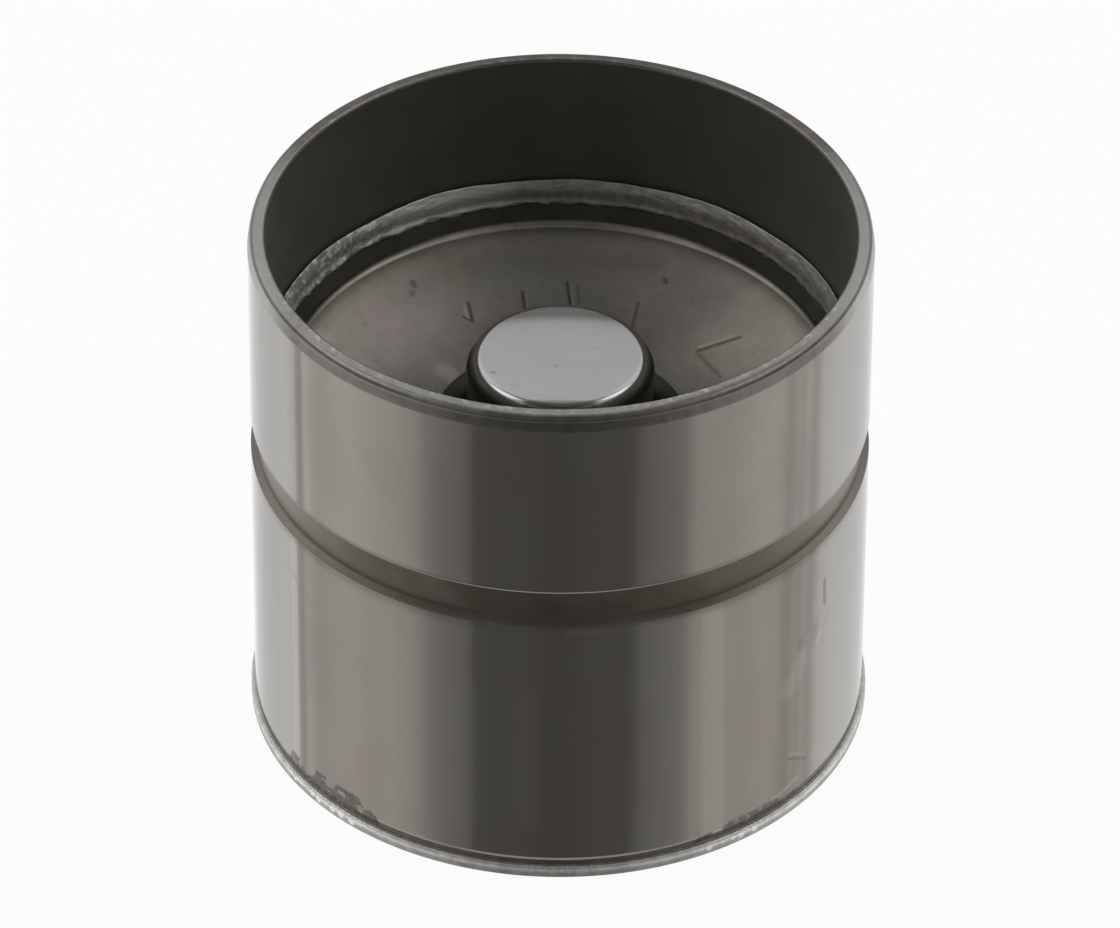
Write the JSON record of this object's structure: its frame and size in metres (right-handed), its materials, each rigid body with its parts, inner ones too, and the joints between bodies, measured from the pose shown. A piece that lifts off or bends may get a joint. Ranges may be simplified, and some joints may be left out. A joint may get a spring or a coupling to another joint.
{
  "type": "hydraulic valve lifter",
  "caption": "Bucket-type hydraulic valve lifter: ground steel skirt with an oil groove, closed cam face, pressed guide cup and a sliding hydraulic element.",
  "frame": {"origin": "centre of the closed cam face, on which the lifter stands", "axes": "+Z along the lifter's axis, from the cam face towards the open skirt and the valve stem"},
  "size_m": [0.0354, 0.0354, 0.0322],
  "materials": {
    "ground_steel": "finely ground, oily dark sheen",
    "crown_steel": "ground, with a bright burr along the brazed seam",
    "pressed_steel": "satin, brown-grey, pressed sheet",
    "lapped_steel": "lapped, bright satin",
    "ball_steel": "polished",
    "spring_wire": "drawn wire, satin"
  },
  "bodies": {
    "bucket": {"bucket_shell": "ground_steel", "crown_plate": "crown_steel", "guide_cup": "pressed_steel", "plunger": "lapped_steel", "ball_cage": "pressed_steel", "return_spring": "spring_wire", "ball_spring": "spring_wire"},
    "element": {"element_cylinder": "lapped_steel", "retaining_ring": "spring_wire"},
    "valve_ball": {"check_ball": "ball_steel"}
  },
  "joints": [
    {"name": "element_slide", "type": "slide", "parent": "bucket", "child": "element", "axis": [0, 0, -1], "range_m": [0, 0.003], "stiffness_N_per_m": 1500, "springref_m": -0.0002, "deforming": ["return_spring"]},
    {"name": "ball_lift", "type": "slide", "parent": "bucket", "child": "valve_ball", "axis": [0, 0, 1], "range_m": [0, 0.00025], "stiffness_N_per_m": 100, "springref_m": -0.0002, "deforming": ["ball_spring"]}
  ]
}
